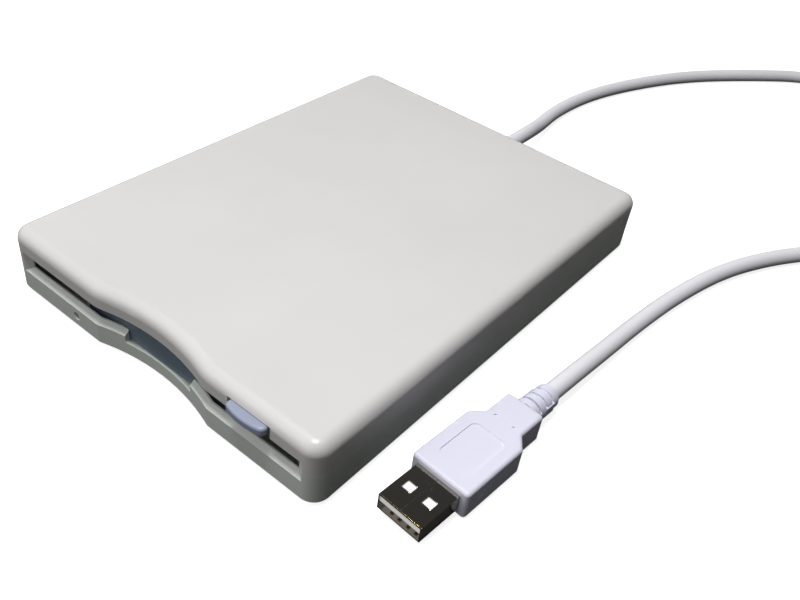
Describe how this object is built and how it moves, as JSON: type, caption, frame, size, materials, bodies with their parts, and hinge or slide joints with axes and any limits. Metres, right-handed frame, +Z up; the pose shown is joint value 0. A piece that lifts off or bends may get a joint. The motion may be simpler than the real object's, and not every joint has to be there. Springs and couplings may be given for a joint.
{
  "type": "external floppy disk drive",
  "caption": "Slim external floppy disk drive with a wave-shaped front, dust flap, eject button and captive USB cord with plug.",
  "frame": {"origin": "on the surface it stands on, under the middle of the case", "axes": "+X right as seen from the disk slot, +Y to the rear, +Z up"},
  "size_m": [0.1953, 0.3239, 0.0183],
  "materials": {
    "top_plastic": "fine satin",
    "base_plastic": "fine satin",
    "foot_rubber": "matte",
    "screw_steel": "plated",
    "button_plastic": "satin gloss",
    "flap_plastic": "satin",
    "lamp_lens": "clear",
    "frame_steel": "zinc plated",
    "sheet_steel": "zinc plated",
    "hub_steel": "turned",
    "magnet_ferrite": "pressed",
    "bearing_brass": "turned",
    "core_steel": "lacquered laminations",
    "coil_copper": "enamelled wire",
    "board_green": "solder mask",
    "chip_black": "moulded",
    "carriage_plastic": "glass filled",
    "rod_steel": "polished",
    "head_ceramic": "polished",
    "header_plastic": "moulded",
    "cord_vinyl": "soft satin",
    "tie_black": "soft",
    "plug_vinyl": "soft satin",
    "plug_steel": "nickel plated",
    "tongue_white": "moulded",
    "contact_gold": "gold plated"
  },
  "bodies": {
    "case": {"top_shell": "top_plastic", "bottom_shell": "base_plastic", "rubber_feet": "foot_rubber", "case_screws": "screw_steel", "indicator_led": "lamp_lens", "drive_frame": "frame_steel", "frame_screws": "screw_steel", "shield_cover": "sheet_steel", "spindle_bearing": "bearing_brass", "stator_core": "core_steel", "stator_coils": "coil_copper", "motor_board": "board_green", "motor_chip": "chip_black", "sensor_switches": "chip_black", "guide_rods": "rod_steel", "rod_clips": "frame_steel", "stepper_motor": "hub_steel", "motor_bracket": "frame_steel", "control_board": "board_green", "board_chips": "chip_black", "board_capacitors": "hub_steel", "cord_header": "header_plastic", "strain_relief": "cord_vinyl", "usb_cable_rear": "cord_vinyl", "cable_coil": "cord_vinyl", "usb_cable_front": "cord_vinyl", "cable_tie": "tie_black", "plug_overmould": "plug_vinyl", "plug_shell": "plug_steel", "plug_tongue": "tongue_white", "plug_contacts": "contact_gold"},
    "flap": {"dust_flap": "flap_plastic"},
    "ejector": {"slider_plate": "sheet_steel", "eject_button": "button_plastic"},
    "holder": {"disk_holder": "sheet_steel", "lever_pivot": "screw_steel"},
    "lever": {"shutter_lever": "sheet_steel"},
    "rotor": {"spindle_hub": "hub_steel", "rotor_magnet": "magnet_ferrite", "drive_pin": "bearing_brass"},
    "carriage": {"head_carriage": "carriage_plastic", "carriage_needle": "rod_steel", "lower_head": "head_ceramic", "arm_pivot_pin": "rod_steel"},
    "arm": {"upper_head_arm": "carriage_plastic", "upper_head": "head_ceramic"},
    "screw": {"lead_screw": "rod_steel"}
  },
  "joints": [
    {"name": "dust_flap_swing", "type": "hinge", "parent": "case", "child": "flap", "pos_m": [0, -0.066, 0.0144], "axis": [1, 0, 0], "range_deg": [0, 80], "stiffness_Nm_per_rad": 0.0004, "springref_deg": -17.19},
    {"name": "slider_travel", "type": "slide", "parent": "case", "child": "ejector", "axis": [0, -1, 0], "range_m": [0, 0.0045]},
    {"name": "holder_drop", "type": "slide", "parent": "case", "child": "holder", "axis": [0, 0, -1], "range_m": [0, 0.0018]},
    {"name": "shutter_lever_swing", "type": "hinge", "parent": "holder", "child": "lever", "pos_m": [-0.016, 0.042, 0.013], "axis": [0, 0, -1], "range_deg": [0, 65.5], "stiffness_Nm_per_rad": 0.0004, "springref_deg": -17.19},
    {"name": "spindle_spin", "type": "hinge", "parent": "case", "child": "rotor", "pos_m": [0, -0.014, 0.005], "axis": [0, 0, 1], "continuous": true},
    {"name": "carriage_travel", "type": "slide", "parent": "case", "child": "carriage", "axis": [0, -1, 0], "range_m": [0, 0.0148]},
    {"name": "lead_screw_spin", "type": "hinge", "parent": "case", "child": "screw", "pos_m": [-0.026, 0.04, 0.0089], "axis": [0, 1, 0], "range_deg": [0, 1776.1]},
    {"name": "upper_arm_swing", "type": "hinge", "parent": "carriage", "child": "arm", "pos_m": [0, 0.055, 0.013], "axis": [1, 0, 0], "range_deg": [0, 7.2], "stiffness_Nm_per_rad": 0.0006, "springref_deg": -17.19}
  ],
  "couplings": [
    {"joint": "holder_drop", "follows": "slider_travel", "ratio": 0.4},
    {"joint": "lead_screw_spin", "follows": "carriage_travel", "rad_per_m": 2094.4}
  ]
}
